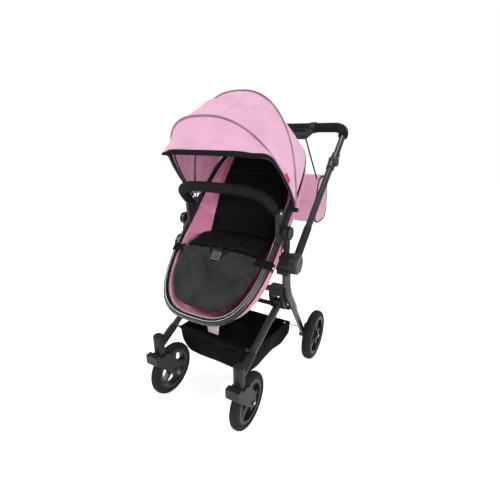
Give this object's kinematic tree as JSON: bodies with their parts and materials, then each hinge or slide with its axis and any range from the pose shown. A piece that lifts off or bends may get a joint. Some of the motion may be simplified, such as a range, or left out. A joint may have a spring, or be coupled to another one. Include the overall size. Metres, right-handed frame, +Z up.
{
  "type": "baby stroller",
  "caption": "Four-wheel baby stroller with a tilting oval seat, folding hood, bumper bar, basket, swivel front wheels and a folding frame.",
  "frame": {"origin": "on the floor under the middle of the bounding box", "axes": "+Z up, the stroller faces -Y, the child's left side is +X"},
  "size_m": [0.539, 0.9168, 1.1001],
  "materials": {
    "graphite": "satin graphite powder coat",
    "hard_plastic": "fine grained moulded plastic",
    "cap_plastic": "dark grey moulded plastic",
    "ring_tube": "gloss black",
    "foam": "closed-cell foam grip",
    "tyre": "foam-filled tyre",
    "rim": "moulded wheel",
    "canopy_cloth": "woven polyester",
    "bag_cloth": "woven polyester",
    "tub_cloth": "woven polyester lining",
    "liner_cloth": "black woven lining",
    "pad_cloth": "charcoal melange cloth",
    "webbing": "nylon webbing",
    "basket_cloth": "black nylon",
    "bow_rod": "black",
    "bolt_steel": "zinc-plated"
  },
  "bodies": {
    "chassis": {"column_l": "graphite", "column_r": "graphite", "hinge_block_l": "hard_plastic", "hinge_block_r": "hard_plastic", "knuckle_l": "hard_plastic", "knuckle_r": "hard_plastic", "cross_tubes": "ring_tube", "rear_leg_l": "ring_tube", "rear_leg_r": "ring_tube", "rear_hub_block_l": "hard_plastic", "rear_hub_block_r": "hard_plastic", "frame_bolts": "bolt_steel"},
    "handle_lower": {"hinge_cap_l": "cap_plastic", "hinge_cap_r": "cap_plastic", "lower_tube_l": "graphite", "lower_tube_r": "graphite"},
    "handle_upper": {"handle_bar": "graphite", "foam_grip": "foam", "release_grip": "hard_plastic", "bag": "bag_cloth"},
    "trigger": {"release_trigger": "cap_plastic"},
    "swing_button_left": {"swing_button_l": "cap_plastic"},
    "swing_button_right": {"swing_button_r": "cap_plastic"},
    "front_frame": {"front_leg_l": "graphite", "front_leg_r": "graphite", "caster_housing_l": "cap_plastic", "caster_housing_r": "cap_plastic", "basket": "basket_cloth", "basket_rod": "ring_tube"},
    "caster_left": {"fork_l": "hard_plastic"},
    "caster_right": {"fork_r": "hard_plastic"},
    "wheel_front_left": {"tyre_fl": "tyre", "rim_fl": "rim"},
    "wheel_front_right": {"tyre_fr": "tyre", "rim_fr": "rim"},
    "wheel_rear_left": {"tyre_rl": "tyre", "rim_rl": "rim"},
    "wheel_rear_right": {"tyre_rr": "tyre", "rim_rr": "rim"},
    "brake_left": {"brake_pedal_l": "hard_plastic"},
    "brake_right": {"brake_pedal_r": "hard_plastic"},
    "seat": {"seat_ring": "ring_tube", "seat_hub_l": "cap_plastic", "seat_hub_r": "cap_plastic", "seat_shell": "tub_cloth", "seat_pad": "pad_cloth", "harness": "webbing", "buckle": "hard_plastic"},
    "backrest": {"back_liner": "liner_cloth"},
    "buckle_release": {"buckle_button": "hard_plastic"},
    "tilt_button_left": {"tilt_button_l": "cap_plastic"},
    "tilt_button_right": {"tilt_button_r": "cap_plastic"},
    "bumper": {"bumper_bar": "hard_plastic", "bumper_foam": "foam"},
    "bow_rear": {"bow_rear": "bow_rod", "hood_rear": "canopy_cloth"},
    "bow_mid": {"bow_mid": "bow_rod", "hood_top": "canopy_cloth"},
    "bow_front": {"bow_front": "bow_rod", "hood_visor": "canopy_cloth"}
  },
  "joints": [
    {"name": "handle_fold", "type": "hinge", "parent": "chassis", "child": "handle_lower", "pos_m": [0, -0.1595, 0.55], "axis": [1, 0, 0], "range_deg": [0, 132], "deforming": ["bag"]},
    {"name": "front_leg_fold", "type": "hinge", "parent": "chassis", "child": "front_frame", "pos_m": [0, -0.1255, 0.369], "axis": [1, 0, 0], "range_deg": [0, 45]},
    {"name": "handle_swing", "type": "hinge", "parent": "handle_lower", "child": "handle_upper", "pos_m": [0, 0.18903, 0.86382], "axis": [1, 0, 0], "range_deg": [-30, 30]},
    {"name": "release_squeeze", "type": "slide", "parent": "handle_upper", "child": "trigger", "axis": [0, 0.7431, 0.6691], "range_m": [0, 0.006], "stiffness_N_per_m": 400, "springref_m": -0.002},
    {"name": "swing_button_left_press", "type": "slide", "parent": "handle_upper", "child": "swing_button_left", "axis": [-1, 0, 0], "range_m": [0, 0.002], "stiffness_N_per_m": 600, "springref_m": -0.002},
    {"name": "swing_button_right_press", "type": "slide", "parent": "handle_upper", "child": "swing_button_right", "axis": [1, 0, 0], "range_m": [0, 0.002], "stiffness_N_per_m": 600, "springref_m": -0.002},
    {"name": "caster_left_swivel", "type": "hinge", "parent": "front_frame", "child": "caster_left", "pos_m": [0.172, -0.4095, 0.237], "axis": [0, 0, 1], "continuous": true},
    {"name": "caster_right_swivel", "type": "hinge", "parent": "front_frame", "child": "caster_right", "pos_m": [-0.172, -0.4095, 0.237], "axis": [0, 0, 1], "continuous": true},
    {"name": "front_left_roll", "type": "hinge", "parent": "caster_left", "child": "wheel_front_left", "pos_m": [0.172, -0.3585, 0.1], "axis": [1, 0, 0], "continuous": true},
    {"name": "front_right_roll", "type": "hinge", "parent": "caster_right", "child": "wheel_front_right", "pos_m": [-0.172, -0.3585, 0.1], "axis": [1, 0, 0], "continuous": true},
    {"name": "rear_left_roll", "type": "hinge", "parent": "chassis", "child": "wheel_rear_left", "pos_m": [0.24, 0.1215, 0.11], "axis": [1, 0, 0], "continuous": true},
    {"name": "rear_right_roll", "type": "hinge", "parent": "chassis", "child": "wheel_rear_right", "pos_m": [-0.24, 0.1215, 0.11], "axis": [1, 0, 0], "continuous": true},
    {"name": "brake_left_press", "type": "hinge", "parent": "chassis", "child": "brake_left", "pos_m": [0, 0.1425, 0.135], "axis": [1, 0, 0], "range_deg": [-18, 0]},
    {"name": "brake_right_press", "type": "hinge", "parent": "chassis", "child": "brake_right", "pos_m": [0, 0.1425, 0.135], "axis": [1, 0, 0], "range_deg": [-18, 0]},
    {"name": "seat_tilt", "type": "hinge", "parent": "chassis", "child": "seat", "pos_m": [0, -0.1645, 0.656], "axis": [1, 0, 0], "range_deg": [-46, 8]},
    {"name": "backrest_recline", "type": "hinge", "parent": "seat", "child": "backrest", "pos_m": [0, -0.13926, 0.60036], "axis": [1, 0, 0], "range_deg": [-4, 0]},
    {"name": "buckle_press", "type": "slide", "parent": "seat", "child": "buckle_release", "axis": [0, 0.7133, -0.7009], "range_m": [0, 0.002], "stiffness_N_per_m": 400, "springref_m": -0.002},
    {"name": "tilt_button_left_press", "type": "slide", "parent": "seat", "child": "tilt_button_left", "axis": [-1, 0, 0], "range_m": [0, 0.003], "stiffness_N_per_m": 800, "springref_m": -0.002},
    {"name": "tilt_button_right_press", "type": "slide", "parent": "seat", "child": "tilt_button_right", "axis": [1, 0, 0], "range_m": [0, 0.003], "stiffness_N_per_m": 800, "springref_m": -0.002},
    {"name": "bumper_swing", "type": "hinge", "parent": "seat", "child": "bumper", "pos_m": [0, -0.17001, 0.7203], "axis": [1, 0, 0], "range_deg": [0, 30]},
    {"name": "hood_fold", "type": "hinge", "parent": "bow_rear", "child": "bow_mid", "pos_m": [0, -0.10002, 0.72162], "axis": [1, 0, 0], "range_deg": [-32.5, 0], "deforming": ["hood_top"]},
    {"name": "hood_rear_fold", "type": "hinge", "parent": "seat", "child": "bow_rear", "pos_m": [0, -0.10002, 0.72162], "axis": [1, 0, 0], "range_deg": [-13.01, 0], "deforming": ["hood_rear"]},
    {"name": "hood_front_fold", "type": "hinge", "parent": "bow_mid", "child": "bow_front", "pos_m": [0, -0.10002, 0.72162], "axis": [1, 0, 0], "range_deg": [-9.43, 0], "deforming": ["hood_visor"]}
  ],
  "couplings": [
    {"joint": "front_leg_fold", "follows": "handle_fold", "ratio": 0.3407},
    {"joint": "hood_rear_fold", "follows": "hood_fold", "ratio": 0.4},
    {"joint": "hood_front_fold", "follows": "hood_fold", "ratio": 0.29}
  ]
}
